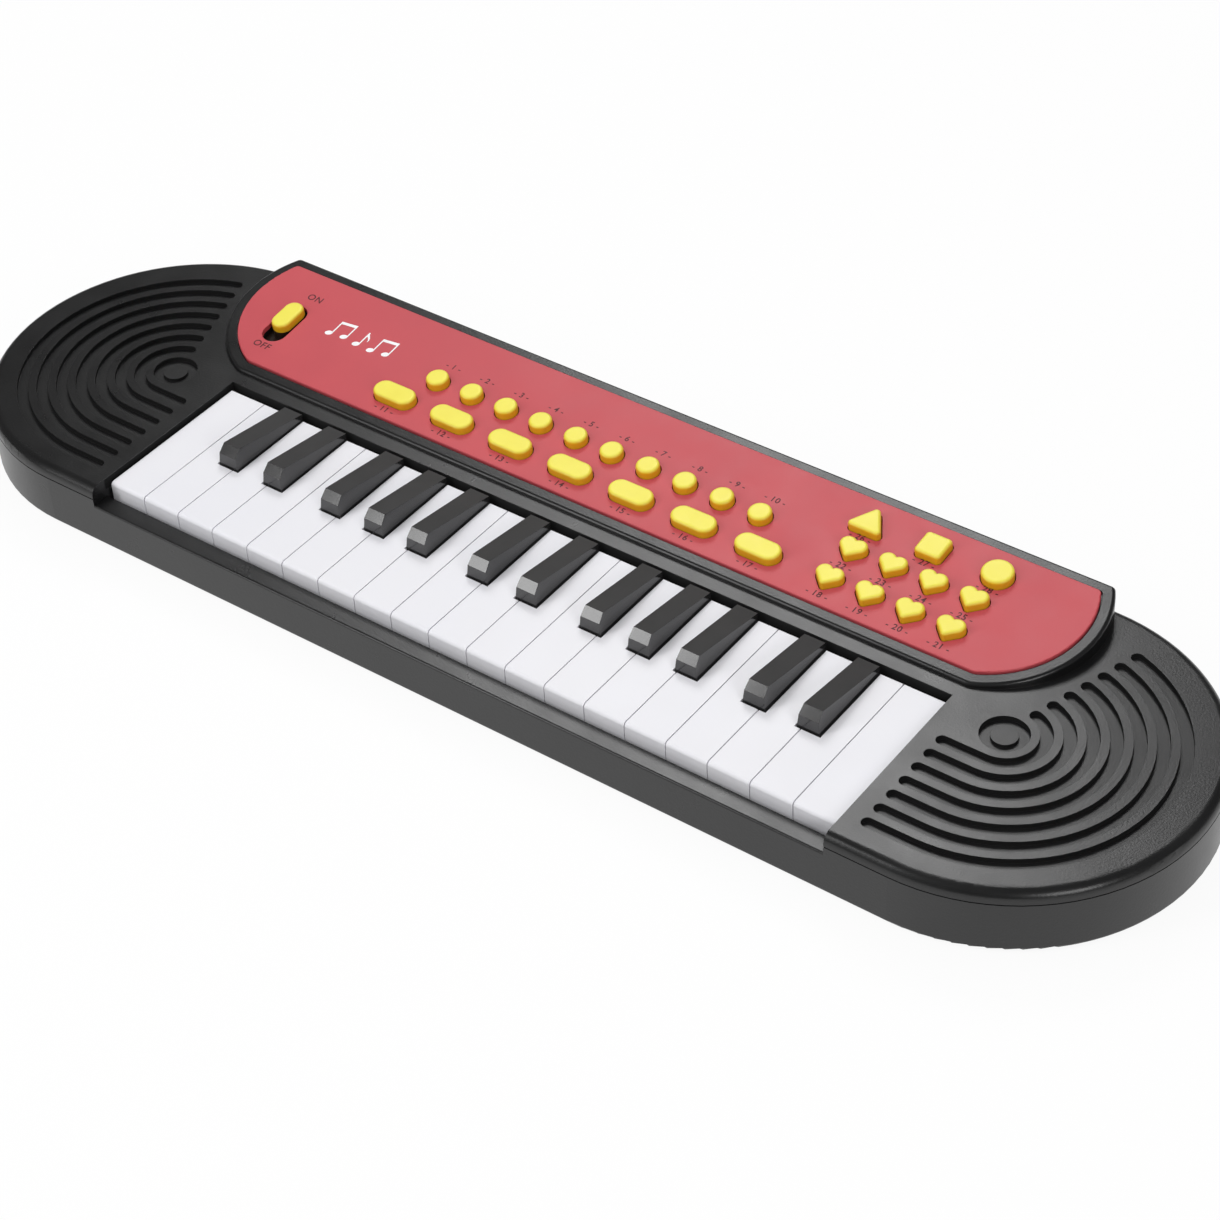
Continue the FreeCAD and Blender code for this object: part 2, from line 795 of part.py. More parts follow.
def bottom_case():
    added = key_well() + key_board_ribs() + [battery_bay()] + both_sides(speaker_seat())
    added += [disc(x, y, floor_z - wall / 2, seam_z, column_radius) for x, y in column_places()]
    shell = bottom_shell().fuse(added).removeSplitter()
    nose = [e for e in level_edges(shell, ledge_z) if abs(e.BoundBox.YMax + end_r) < tiny]
    shell = shell.makeFillet(ledge_round, nose)
    cuts = [disc(x, y, bay_roof_z - overrun, far, lead_radius + lead_hole) for x, y in lead_places()]
    cuts.append(bar_x(-case_half, case_half, pivot_y, pivot_z, rod_radius))
    cuts += door_cuts()
    for slot in sound_slots():
        cuts += both_sides(slot)
    for x, y in column_places():
        cuts.append(disc(x, y, base_z - overrun, seam_z + overrun, screw_radius + screw_clear))
        cuts.append(disc(x, y, base_z - overrun, base_z + screw_recess, screw_head_radius + screw_clear))
    return shell.cut(cuts)


def key_board_ribs():
    ribs = []
    for i in range(key_board_rib_count):
        x = (i - (key_board_rib_count - 1) / 2) * 2 * bed_half / key_board_rib_count
        half = key_board_rib / 2
        y0, y1 = key_board_y - key_board_depth / 2, key_board_y + key_board_depth / 2
        ribs.append(box(x - half, x + half, y0, y1, floor_z - wall / 2, key_board_z))
    return ribs


def key_xs():
    whites = [sum(white_rear_span(i)) / 2 for i in range(white_count)]
    return whites + [black_x(i) for i in range(len(black_after))]


def key_board():
    half = bed_half - key_gap
    y0, y1 = key_board_y - key_board_depth / 2, key_board_y + key_board_depth / 2
    return box(-half, half, y0, y1, key_board_z, key_board_z + board_thick)


def key_pads():
    z = key_board_z + board_thick
    half = bed_half - key_gap
    reach = key_board_depth / 2 - key_pad_radius
    sheet = box(-half, half, key_board_y - reach, key_board_y + reach, z, z + pad_sheet)
    pads = [disc(x, key_board_y, z, key_pad_z, key_pad_radius) for x in key_xs()]
    return join([sheet] + pads)


def key_pivot_rod():
    reach = open_half + cheek_wall
    return bar_x(-reach, reach, pivot_y, pivot_z, rod_radius)


def button_board():
    plate = box(-board_half, board_half, board_front_v, board_rear_v, board_low_w, board_w)
    half = switch_body / 2
    reach = half + switch_travel / 2
    x0, x1 = switch_x - half, switch_x + half
    body = box(x0, x1, switch_v - reach, switch_v + reach, board_w, board_w + switch_body_height)
    return sloped(join([plate, body]))


def button_pads():
    hole = boss_radius + panel_fit
    bosses = boss_places()
    left = min(x for x, v in bosses) - hole - sheet_rim
    v0, v1 = board_front_v + sheet_edge, board_rear_v - sheet_edge
    sheet = box(left, board_half - sheet_inset, v0, v1, board_w, sheet_w)
    sheet = sheet.cut([disc(x, v, board_w - overrun, sheet_w + overrun, hole) for x, v in bosses])
    pads = []
    for name, group in caps():
        for cap in group:
            pads.append(disc(*cap_centre(cap), board_w, pad_w, stem_radius + contact_gap))
    return sloped(join([sheet] + pads))


def speakers():
    group = []
    for side in (-1, 1):
        x, y = side * speaker_x, -ring_forward
        rim = disc(x, y, floor_z, floor_z + speaker_flange, speaker_radius)
        z = floor_z + speaker_flange
        wide = speaker_radius - speaker_flange
        basket = Part.makeCone(wide, speaker_magnet_radius, speaker_basket, Vec(x, y, z))
        z = z + speaker_basket
        group.append(join([rim, basket, disc(x, y, z, z + speaker_magnet, speaker_magnet_radius)]))
    return Part.makeCompound(group)


def cell_rows():
    first = bay_y + cell_clear + cell_radius
    return [first + i * (2 * cell_radius + cell_clear) for i in range(cell_row_count)]


def cell(x, y, heading):
    body = bar_x(0, cell_length, 0, 0, cell_radius)
    nub = bar_x(cell_length, cell_length + cell_nub, 0, 0, cell_nub_radius)
    out = join([body, nub])
    if heading < 0:
        out = mirrored(out)
    out.translate(Vec(x, y, cell_z))
    return out


def batteries():
    length = cell_length + cell_nub
    group = []
    for i, row in enumerate(cell_rows()):
        heading = 1 - 2 * (i % 2)
        start = -heading * length
        group.append(cell(start, row, heading))
        group.append(cell(start + heading * length, row, heading))
    return Part.makeCompound(group)


def lead_places():
    return [(bay_half - lead_radius, row) for row in cell_rows()]


def contact(side, row):
    # Plate on the bay's end wall with a bump pressed against the cell
    reach = bay_half
    inner = side * (reach - contact_plate)
    x0, x1 = sorted((side * reach, inner))
    z0, z1 = cell_z - contact_half, cell_z + contact_half
    plate = box(x0, x1, row - contact_half, row + contact_half, z0, z1)
    b0, b1 = sorted((side * (cell_length + cell_nub), inner))
    return [plate, bar_x(b0, b1, row, cell_z, contact_bump_radius)]


def speaker_lead():
    # Out of the board's underside, across, and down to the speaker's magnet
    x = board_half - speaker_lead_inset
    v = board_front_v + lead_radius * 2
    magnet_z = floor_z + speaker_flange + speaker_basket + speaker_magnet
    low_w = board_low_w - speaker_lead_drop
    high = sloped(disc(x, v, low_w, board_low_w, lead_radius))
    knee = sloped(Part.Vertex(Vec(x, v, low_w))).Point
    foot = Vec(speaker_x, -ring_forward, magnet_z + speaker_lead_drop)
    low = disc(foot.x, foot.y, magnet_z, foot.z, lead_radius)
    run = Part.makeCylinder(lead_radius, (foot - knee).Length, knee, foot - knee)
    balls = [Part.makeSphere(lead_radius, p) for p in (knee, foot)]
    return join([high, run, low] + balls)


def wiring():
    # Sprung battery contacts, the leads from them to the board and those to the speakers
    rows = cell_rows()
    group = both_sides(speaker_lead())
    half = contact_half / 2
    x0 = -bay_half
    link = box(x0, x0 + contact_plate, rows[0], rows[1], cell_z - half, cell_z + half)
    group.append(join(contact(-1, rows[0]) + contact(-1, rows[1]) + [link]))
    above = sloped(box(-case_half, case_half, -far, far, board_low_w, far))
    for (x, y), row in zip(lead_places(), rows):
        lead = disc(x, y, cell_z, face_z + far, lead_radius).cut(above)
        group.append(join(contact(1, row) + [lead]))
    return Part.makeCompound(group)


def case_screws():
    group = []
    head_z = base_z + screw_recess
    for x, y in column_places():
        head = disc(x, y, head_z - screw_head, head_z, screw_head_radius)
        group.append(join([head, disc(x, y, head_z - screw_head / 2, seam_z + screw_bite, screw_radius)]))
    return Part.makeCompound(group)


def foot_places():
    radius = end_r - foot_inset
    turn = math.radians(foot_turn_deg)
    x, y = end_x + radius * math.cos(turn), radius * math.sin(turn)
    return [(sx * x, sy * y) for sx in (-1, 1) for sy in (-1, 1)]


def rubber_feet():
    return Part.makeCompound([disc(x, y, 0, base_z, foot_radius) for x, y in foot_places()])


def battery_door():
    half, front, rear = door_box(0)
    plate = box(-half, half, front, hinge_y, base_z, floor_z)
    barrel = bar_x(-half, half, hinge_y, hinge_z, wall / 2)
    reach = half + door_pin_reach
    return join([plate, barrel, bar_x(-reach, reach, hinge_y, hinge_z, door_pin)])


def export(name, shape):
    shape.exportStep("parts/%s.step" % name)


builders = {"top_case": top_case, "bottom_case": bottom_case, "control_panel": control_panel,
            "key_pivot_rod": key_pivot_rod, "key_board": key_board, "key_pads": key_pads,
            "button_board": button_board, "button_pads": button_pads, "speakers": speakers,
            "batteries": batteries, "wiring": wiring, "case_screws": case_screws,
            "rubber_feet": rubber_feet, "battery_door": battery_door, "switch_knob": switch_knob}
for node, build in builders.items():
    export(node, build())
for number in range(white_count):
    export("white_key_%02d" % (number + 1), white_key(number))
for number in range(len(black_after)):
    export("black_key_%02d" % (number + 1), black_key(number))
for node, group in caps():
    export(node, button(group))
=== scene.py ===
import json
import math

import bpy
from mathutils import Matrix, Quaternion, Vector

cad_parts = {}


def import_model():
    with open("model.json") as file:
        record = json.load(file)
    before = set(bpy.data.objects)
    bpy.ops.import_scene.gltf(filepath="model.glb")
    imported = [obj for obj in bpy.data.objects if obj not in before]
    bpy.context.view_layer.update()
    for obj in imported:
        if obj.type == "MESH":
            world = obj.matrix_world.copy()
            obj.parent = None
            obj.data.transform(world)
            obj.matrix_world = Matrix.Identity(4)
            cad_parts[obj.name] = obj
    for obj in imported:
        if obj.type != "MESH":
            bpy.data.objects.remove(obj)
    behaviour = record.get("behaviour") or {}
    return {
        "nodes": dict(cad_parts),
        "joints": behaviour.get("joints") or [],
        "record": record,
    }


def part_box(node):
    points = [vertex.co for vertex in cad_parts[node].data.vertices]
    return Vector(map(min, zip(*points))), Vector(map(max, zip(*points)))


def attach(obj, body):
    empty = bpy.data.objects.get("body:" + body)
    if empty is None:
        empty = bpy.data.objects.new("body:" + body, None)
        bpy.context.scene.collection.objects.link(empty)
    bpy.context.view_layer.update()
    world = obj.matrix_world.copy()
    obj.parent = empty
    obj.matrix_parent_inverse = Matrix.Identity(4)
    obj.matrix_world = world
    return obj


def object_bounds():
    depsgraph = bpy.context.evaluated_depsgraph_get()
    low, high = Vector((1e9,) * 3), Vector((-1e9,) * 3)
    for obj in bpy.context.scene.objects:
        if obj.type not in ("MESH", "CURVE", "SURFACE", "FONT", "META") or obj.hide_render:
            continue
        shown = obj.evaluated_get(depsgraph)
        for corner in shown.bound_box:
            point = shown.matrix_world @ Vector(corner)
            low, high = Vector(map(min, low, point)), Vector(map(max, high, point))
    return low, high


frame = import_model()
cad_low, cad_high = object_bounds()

MM = 0.001

# Camera, aimed at a point on the key tops
CAMERA_AIM = Vector((36.12, -19.62, 23.18)) * MM
CAMERA_DISTANCE = 964.0 * MM
CAMERA_AZIMUTH_DEG = 38.691
CAMERA_ELEVATION_DEG = 41.108
CAMERA_ROLL_DEG = -3.628
CAMERA_LENS = 86.13

# Floor, surroundings and lamps, in metres
FLOOR_HALF = 9.0
FLOOR_ASIDE = 1.0
FLOOR_DROP = 0.05 * MM
FLOOR_WHITE = (0.9, 0.9, 0.9)
FLOOR_ROUGHNESS = 0.9
FLOOR_LIFT_SHARE = 0.92
WORLD_GREY = 0.12
WORLD_SEEN = 1.0
LAMP_DISTANCE = 1.6
LAMPS = (
    # name, azimuth, elevation, width, height, level on a white sheet, mirrored in glossy faces
    ("strip_lamp", -33.0, 32.0, 0.32, 1.10, 0.16, True),
    ("right_lamp", 65.0, 27.0, 0.50, 0.50, 0.10, True),
    ("rear_lamp", 212.0, 49.0, 0.60, 0.54, 0.216, True),
    ("fill_lamp", 0.0, 80.0, 2.40, 2.40, 0.80, False),
)

# Edge rounding of the moulded pieces
WELD = 0.001 * MM
FLAT_DEG = 0.6
SHARP_DEG = 32.0
ROUND_SEGMENTS = 2
ROUNDS = {
    "case_top": 0.40 * MM,
    "panel_red": 0.15 * MM,
    "key_white": 0.55 * MM,
    "key_black": 0.30 * MM,
    "button_yellow": 0.10 * MM,
}

# Painted shade on the groove walls, as darker colour and duller gloss, with heights over the end
# plates
PLATE_MARGIN = 12.0 * MM
RIM_WIDTH = 6.0 * MM
RIM_FADE = 1.0 * MM
GROOVE_SHADE_DEPTHS = (-0.5 * MM, -0.15 * MM)
GROOVE_ROUGHNESS = 0.95
GROOVE_FLOOR_SHADE_SHARE = 0.10

# Where the yellow of a button ends and the painted shade below the panel begins, over the panel
CARRIER_SHADE_EDGE = (-0.5 * MM, -0.3 * MM)

# Upward part of the normal, from where a side ends to where a top begins
GROOVE_UPWARD = (0.3, 0.9)
BUTTON_UPWARD = (0.2, 0.9)
KEY_UPWARD = (0.90, 0.97)

# Blotch size, roughness range, grain size and grain depth of each material
CASE_FINISH = (30.0 * MM, (0.27, 0.33), 0.8 * MM, 0.035 * MM)
PANEL_FINISH = (25.0 * MM, (0.44, 0.52), 0.4 * MM, 0.008 * MM)
WHITE_FINISH = (40.0 * MM, (0.40, 0.48), 0.8 * MM, 0.002 * MM)
BLACK_FINISH = (12.0 * MM, (0.18, 0.70), 0.35 * MM, 0.010 * MM)
YELLOW_FINISH = (8.0 * MM, (0.38, 0.46), 0.5 * MM, 0.008 * MM)
RUBBER_FINISH = (5.0 * MM, (0.75, 0.85), 0.3 * MM, 0.03 * MM)
STEEL_FINISH = (3.0 * MM, (0.28, 0.40), 0.2 * MM, 0.01 * MM)
BOARD_FINISH = (2.0 * MM, (0.35, 0.45), 1.0 * MM, 0.02 * MM)
SPEAKER_FINISH = (4.0 * MM, (0.45, 0.60), 0.4 * MM, 0.02 * MM)
CELL_FINISH = (20.0 * MM, (0.20, 0.30), 5.0 * MM, 0.01 * MM)
INK_FINISH = (4.0 * MM, (0.50, 0.60), 0.3 * MM, 0.004 * MM)
PANEL_SPECULAR = 0.4
WHITE_SPECULAR = 0.3
BLACK_SPECULAR = 0.8
CELL_BAND_REPEAT = 100.0 * MM
CELL_BAND_EDGE = (0.80, 0.82)
INK_PALER = 1.12

# Noise, of which the middle span is used
BLOTCH_DETAIL = 3.0
GRAIN_DETAIL = 2.0
NOISE_SPAN = (0.3, 0.7)
RISE = (0.0, 1.0)
FALL = (1.0, 0.0)

# Printed numbers and words on the panel
PRINT_LIFT = 0.03 * MM
CAP_SHARE = 0.70
LETTER_SPACING = 1.1
MARK_HEIGHT = 2.4 * MM
WORD_HEIGHT = 2.9 * MM
STROKE_GROW = 0.05 * MM
ROUND_SPACING = 15.5 * MM
ROUND_SHIFT = 8.7 * MM
PILL_COUNT = 7
PILL_SHIFT = -7.2 * MM
HEART_SPACING = 15.45 * MM
NUMBER_ROWS = (
    # buttons, count, spacing, place along the slope from the buttons
    ("button_rounds_1", 5, ROUND_SPACING, ROUND_SHIFT),
    ("button_rounds_2", 5, ROUND_SPACING, ROUND_SHIFT),
    *((f"button_pill_{i + 1}", 1, 0.0, PILL_SHIFT) for i in range(PILL_COUNT)),
    ("button_hearts_1", 4, HEART_SPACING, -7.4 * MM),
    ("button_hearts_2", 4, HEART_SPACING, -7.3 * MM),
    ("button_triangle", 1, 0.0, -7.1 * MM),
    ("button_square", 1, 0.0, -6.8 * MM),
    ("button_circle", 1, 0.0, -7.0 * MM),
)
SWITCH_WORDS = (
    # piece, word, place along the panel and along the slope from the knob
    ("mark_on", "ON", 1.5 * MM, 13.4 * MM),
    ("mark_off", "OFF", 0.0, -16.0 * MM),
)

# Printed notes, placed from the switch knob
NOTES_ASIDE = (31.7 * MM, 5.2 * MM)
NOTE_PLACES = (
    (-13.5 * MM, -4.0 * MM),
    (-7.0 * MM, -3.2 * MM),
    (-0.5 * MM, -4.0 * MM),
    (6.5 * MM, -4.2 * MM),
    (13.0 * MM, -3.4 * MM),
)
NOTE_LAYER = 0.003 * MM
HEAD_WIDTH = 3.1 * MM
HEAD_HEIGHT = 2.2 * MM
HEAD_TILT_DEG = 22.0
HEAD_STEPS = 32
STEM_WIDTH = 0.55 * MM
STEM_HEIGHT = 7.2 * MM
STEM_ASIDE_SHARE = 0.46
BEAM_HEIGHT = 1.3 * MM
FLAG_OUTLINE = (
    # outer edge downward, then inner edge upward, from the top of the stem
    (0.0, 0.0),
    (0.25 * MM, -0.9 * MM),
    (1.0 * MM, -1.7 * MM),
    (1.7 * MM, -2.6 * MM),
    (2.0 * MM, -3.6 * MM),
    (1.8 * MM, -4.7 * MM),
    (1.55 * MM, -3.7 * MM),
    (1.1 * MM, -3.0 * MM),
    (0.5 * MM, -2.4 * MM),
    (0.0, -2.1 * MM),
)

# Colours as linear values
CASE_BLACK = (0.007, 0.007, 0.0072)
CASE_WORN = (0.011, 0.011, 0.0113)
# Painted shade colour for the groove walls and floors
CASE_PAINTED_SHADE = (0.003, 0.003, 0.003)
PANEL_RED = (0.53, 0.071, 0.087)
PANEL_RED_PALE = (0.57, 0.080, 0.095)
KEY_WHITE = (0.80, 0.80, 0.84)
KEY_WHITE_WARM = (0.82, 0.815, 0.845)
KEY_BLACK = (0.015, 0.0147, 0.015)
KEY_BLACK_WORN = (0.021, 0.0206, 0.021)
BUTTON_YELLOW = (0.86, 0.76, 0.080)
BUTTON_YELLOW_PALE = (0.89, 0.80, 0.095)
# Painted shade and painted reddish bounce light for the sides of the buttons
BUTTON_SIDE_PAINTED_SHADE = (0.80, 0.46, 0.012)
# Painted shade for the part of a button below the panel
CARRIER_PAINTED_SHADE = (0.020, 0.012, 0.008)
BOARD_GREEN = (0.02, 0.13, 0.05)
BOARD_TRACE = (0.05, 0.22, 0.09)
RUBBER_GREY = (0.20, 0.20, 0.21)
RUBBER_PALE = (0.26, 0.26, 0.27)
FOOT_BLACK = (0.018, 0.018, 0.018)
FOOT_WORN = (0.035, 0.034, 0.033)
STEEL = (0.56, 0.56, 0.57)
STEEL_PALE = (0.66, 0.66, 0.67)
SPEAKER_DARK = (0.05, 0.05, 0.052)
SPEAKER_PALE = (0.10, 0.10, 0.102)
CELL_GREEN = (0.03, 0.16, 0.12)
CELL_WHITE = (0.62, 0.63, 0.62)
INK = (0.075, 0.010, 0.014)
PRINT_WHITE = (0.86, 0.86, 0.87)


class PanelFace:
    # The sloped face of the panel, whose slope the switch slides along
    def __init__(self):
        slide = next(j for j in frame["joints"] if j["name"] == "switch_slide")
        self.along = Vector((1, 0, 0))
        self.slope = -Vector(slide["axis"]).normalized()
        self.out = self.along.cross(self.slope)
        panel = frame["nodes"]["control_panel"]
        self.level = max((panel.matrix_world @ v.co).dot(self.out) for v in panel.data.vertices)

    def place(self, node):
        low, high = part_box(node)
        middle = (low + high) / 2
        return middle.dot(self.along), middle.dot(self.slope)

    def matrix(self, x, v):
        origin = self.along * x + self.slope * v + self.out * (self.level + PRINT_LIFT)
        turned = Matrix((self.along, self.slope, self.out)).transposed().to_4x4()
        return Matrix.Translation(origin) @ turned


panel_face = PanelFace()


def plate_top():
    # Height of the level plate at the outer end of the top case
    piece = frame["nodes"]["top_case"]
    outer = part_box("top_case")[1].x - PLATE_MARGIN
    return max((piece.matrix_world @ v.co).z for v in piece.data.vertices if v.co.x > outer)


def shifted(span, base):
    return tuple(base + end for end in span)


def new_material(name):
    made = bpy.data.materials.new(name)
    made.use_nodes = True
    return made, made.node_tree, made.node_tree.nodes["Principled BSDF"]


def set_shader(made, socket, value):
    made.node_tree.nodes["Principled BSDF"].inputs[socket].default_value = value


def add(tree, kind, **settings):
    node = tree.nodes.new(kind)
    for key, value in settings.items():
        setattr(node, key, value)
    return node


def place_in_object(tree):
    return add(tree, "ShaderNodeTexCoord").outputs["Object"]


def upward_part(tree, vector):
    split = add(tree, "ShaderNodeSeparateXYZ")
    tree.links.new(vector, split.inputs["Vector"])
    return split.outputs["Z"]


def noise(tree, size, detail):
    # Noise whose blobs are about the given size across
    node = add(tree, "ShaderNodeTexNoise")
    node.inputs["Scale"].default_value = 1.0 / size
    node.inputs["Detail"].default_value = detail
    tree.links.new(place_in_object(tree), node.inputs["Vector"])
    return node.outputs["Fac"]


def ramp(tree, source, span, values):
    # Runs from the first value to the second over a span of the source
    node = add(tree, "ShaderNodeMapRange")
    node.inputs["From Min"].default_value = span[0]
    node.inputs["From Max"].default_value = span[1]
    node.inputs["To Min"].default_value = values[0]
    node.inputs["To Max"].default_value = values[1]
    tree.links.new(source, node.inputs["Value"])
    return node.outputs["Result"]


def blotches(tree, size, values):
    return ramp(tree, noise(tree, size, BLOTCH_DETAIL), NOISE_SPAN, values)


def facing_up(tree, span, values):
    # Runs from the first value on upright faces to the second on faces that look up
    normal = add(tree, "ShaderNodeNewGeometry").outputs["Normal"]
    return ramp(tree, upward_part(tree, normal), span, values)


def product(tree, *shares):
    whole = shares[0]
    for share in shares[1:]:
        node = add(tree, "ShaderNodeMath", operation="MULTIPLY")
        tree.links.new(whole, node.inputs[0])
        tree.links.new(share, node.inputs[1])
        whole = node.outputs["Value"]
    return whole


def blend_colours(tree, factor, first, second):
    # Each colour is a fixed one or comes from another node
    node = add(tree, "ShaderNodeMix", data_type="RGBA")
    for socket, colour in (("A", first), ("B", second)):
        if isinstance(colour, tuple):
            node.inputs[socket].default_value = (*colour, 1.0)
        else:
            tree.links.new(colour, node.inputs[socket])
    tree.links.new(factor, node.inputs["Factor"])
    return node.outputs["Result"]


def blend_towards(tree, factor, source, value):
    # Runs from a varying value to a fixed one
    node = add(tree, "ShaderNodeMix", data_type="FLOAT")
    node.inputs["B"].default_value = value
    tree.links.new(factor, node.inputs["Factor"])
    tree.links.new(source, node.inputs["A"])
    return node.outputs["Result"]


def mottled(tree, size, first, second):
    return blend_colours(tree, blotches(tree, size, RISE), first, second)


def grain(tree, shader, size, depth):
    bump = add(tree, "ShaderNodeBump")
    bump.inputs["Distance"].default_value = depth
    tree.links.new(noise(tree, size, GRAIN_DETAIL), bump.inputs["Height"])
    tree.links.new(bump.outputs["Normal"], shader.inputs["Normal"])


def moulded(name, first, second, finish):
    # Mottled colour, uneven gloss and a fine grain
    made, tree, shader = new_material(name)
    blotch, gloss, pit, depth = finish
    tree.links.new(mottled(tree, blotch, first, second), shader.inputs["Base Color"])
    tree.links.new(blotches(tree, blotch / 2, gloss), shader.inputs["Roughness"])
    grain(tree, shader, pit, depth)
    return made


def inside_rim(tree):
    # 1 within the rounded rim of the end plates and 0 on it
    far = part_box("top_case")[1]
    offset = add(tree, "ShaderNodeVectorMath", operation="ABSOLUTE")
    tree.links.new(place_in_object(tree), offset.inputs[0])
    for operation, values in (
        ("SUBTRACT", (far.x - far.y, 0.0, 0.0)),
        ("MAXIMUM", (0.0, 0.0, 0.0)),
        ("MULTIPLY", (1.0, 1.0, 0.0)),
    ):
        step = add(tree, "ShaderNodeVectorMath", operation=operation)
        step.inputs[1].default_value = values
        tree.links.new(offset.outputs["Vector"], step.inputs[0])
        offset = step
    reach = add(tree, "ShaderNodeVectorMath", operation="LENGTH")
    tree.links.new(offset.outputs["Vector"], reach.inputs[0])
    limit = far.y - RIM_WIDTH
    return ramp(tree, reach.outputs["Value"], (limit - RIM_FADE, limit), FALL)


def groove_painted_shade(tree):
    # Painted shade mask: 1 on the walls of the grooves, a small share on their floors and 0 on
    # the plates
    height = upward_part(tree, place_in_object(tree))
    under = ramp(tree, height, shifted(GROOVE_SHADE_DEPTHS, plate_top()), FALL)
    upright = facing_up(tree, GROOVE_UPWARD, (1.0, GROOVE_FLOOR_SHADE_SHARE))
    return product(tree, under, upright, inside_rim(tree))


def bottom_plastic():
    return moulded("case_bottom", CASE_BLACK, CASE_WORN, CASE_FINISH)


def top_plastic():
    # Satin plastic with painted shade on the groove walls, as darker colour and duller gloss
    # there
    made, tree, shader = new_material("case_top")
    blotch, gloss, pit, depth = CASE_FINISH
    painted_shade = groove_painted_shade(tree)
    skin = mottled(tree, blotch, CASE_BLACK, CASE_WORN)
    # Painted shade: the base colour goes dark on the groove walls
    tree.links.new(blend_colours(tree, painted_shade, skin, CASE_PAINTED_SHADE), shader.inputs["Base Color"])
    satin = blotches(tree, blotch / 2, gloss)
    tree.links.new(blend_towards(tree, painted_shade, satin, GROOVE_ROUGHNESS), shader.inputs["Roughness"])
    grain(tree, shader, pit, depth)
    return made


def panel_plastic():
    made = moulded("panel_red", PANEL_RED, PANEL_RED_PALE, PANEL_FINISH)
    set_shader(made, "Specular IOR Level", PANEL_SPECULAR)
    return made


def white_key_plastic():
    made = moulded("key_white", KEY_WHITE, KEY_WHITE_WARM, WHITE_FINISH)
    set_shader(made, "Specular IOR Level", WHITE_SPECULAR)
    return made


def black_key_plastic():
    # Dull top, polished sides and front
    made, tree, shader = new_material("key_black")
    blotch, gloss, pit, depth = BLACK_FINISH
    tree.links.new(mottled(tree, blotch, KEY_BLACK, KEY_BLACK_WORN), shader.inputs["Base Color"])
    tree.links.new(facing_up(tree, KEY_UPWARD, gloss), shader.inputs["Roughness"])
    set_shader(made, "Specular IOR Level", BLACK_SPECULAR)
    grain(tree, shader, pit, depth)
    return made


def over_panel(tree, span):
    # 0 below a span of heights over the panel and 1 above it
    height = add(tree, "ShaderNodeVectorMath", operation="DOT_PRODUCT")
    height.inputs[1].default_value = panel_face.out
    tree.links.new(place_in_object(tree), height.inputs[0])
    return ramp(tree, height.outputs["Value"], shifted(span, panel_face.level), RISE)


def yellow_plastic():
    # Painted shade: a darker, more orange yellow down the sides, where less light falls, and near
    # black below the panel, painted as the shade there
    made, tree, shader = new_material("button_yellow")
    blotch, gloss, pit, depth = YELLOW_FINISH
    top = mottled(tree, blotch, BUTTON_YELLOW, BUTTON_YELLOW_PALE)
    # Painted shade on the sides
    cap = blend_colours(tree, facing_up(tree, BUTTON_UPWARD, RISE), BUTTON_SIDE_PAINTED_SHADE, top)
    # Painted shade below the panel
    whole = blend_colours(tree, over_panel(tree, CARRIER_SHADE_EDGE), CARRIER_PAINTED_SHADE, cap)
    tree.links.new(whole, shader.inputs["Base Color"])
    tree.links.new(blotches(tree, blotch / 2, gloss), shader.inputs["Roughness"])
    grain(tree, shader, pit, depth)
    return made


def rubber(name, first, second):
    return moulded(name, first, second, RUBBER_FINISH)


def steel():
    made = moulded("steel", STEEL, STEEL_PALE, STEEL_FINISH)
    set_shader(made, "Metallic", 1.0)
    return made


def board():
    return moulded("board", BOARD_GREEN, BOARD_TRACE, BOARD_FINISH)


def speaker():
    return moulded("speaker_metal", SPEAKER_DARK, SPEAKER_PALE, SPEAKER_FINISH)


def cell_wrap():
    # Sleeve with a pale band round each cell
    made, tree, shader = new_material("cell_wrap")
    blotch, gloss, pit, depth = CELL_FINISH
    wave = add(tree, "ShaderNodeTexWave", bands_direction="X")
    wave.inputs["Scale"].default_value = 1.0 / CELL_BAND_REPEAT
    tree.links.new(place_in_object(tree), wave.inputs["Vector"])
    band = ramp(tree, wave.outputs["Fac"], CELL_BAND_EDGE, RISE)
    tree.links.new(blend_colours(tree, band, CELL_GREEN, CELL_WHITE), shader.inputs["Base Color"])
    tree.links.new(blotches(tree, blotch / 2, gloss), shader.inputs["Roughness"])
    grain(tree, shader, pit, depth)
    return made


def ink(name, colour):
    pale = tuple(min(1.0, c * INK_PALER) for c in colour)
    return moulded(name, colour, pale, INK_FINISH)


materials = {
    "case_top": top_plastic(),
    "case_bottom": bottom_plastic(),
    "panel_red": panel_plastic(),
    "key_white": white_key_plastic(),
    "key_black": black_key_plastic(),
    "button_yellow": yellow_plastic(),
    "board": board(),
    "pad_rubber": rubber("pad_rubber", RUBBER_GREY, RUBBER_PALE),
    "foot_rubber": rubber("foot_rubber", FOOT_BLACK, FOOT_WORN),
    "steel": steel(),
    "contact_metal": steel(),
    "speaker_metal": speaker(),
    "cell_wrap": cell_wrap(),
}


def round_edges(piece, width):
    weld = piece.modifiers.new("weld", "WELD")
    weld.merge_threshold = WELD
    flat = piece.modifiers.new("flat", "DECIMATE")
    flat.decimate_type = "DISSOLVE"
    flat.angle_limit = math.radians(FLAT_DEG)
    bevel = piece.modifiers.new("round", "BEVEL")
    bevel.width = width
    bevel.segments = ROUND_SEGMENTS
    bevel.limit_method = "ANGLE"
    bevel.angle_limit = math.radians(SHARP_DEG)
    even = piece.modifiers.new("even", "WEIGHTED_NORMAL")
    even.keep_sharp = False


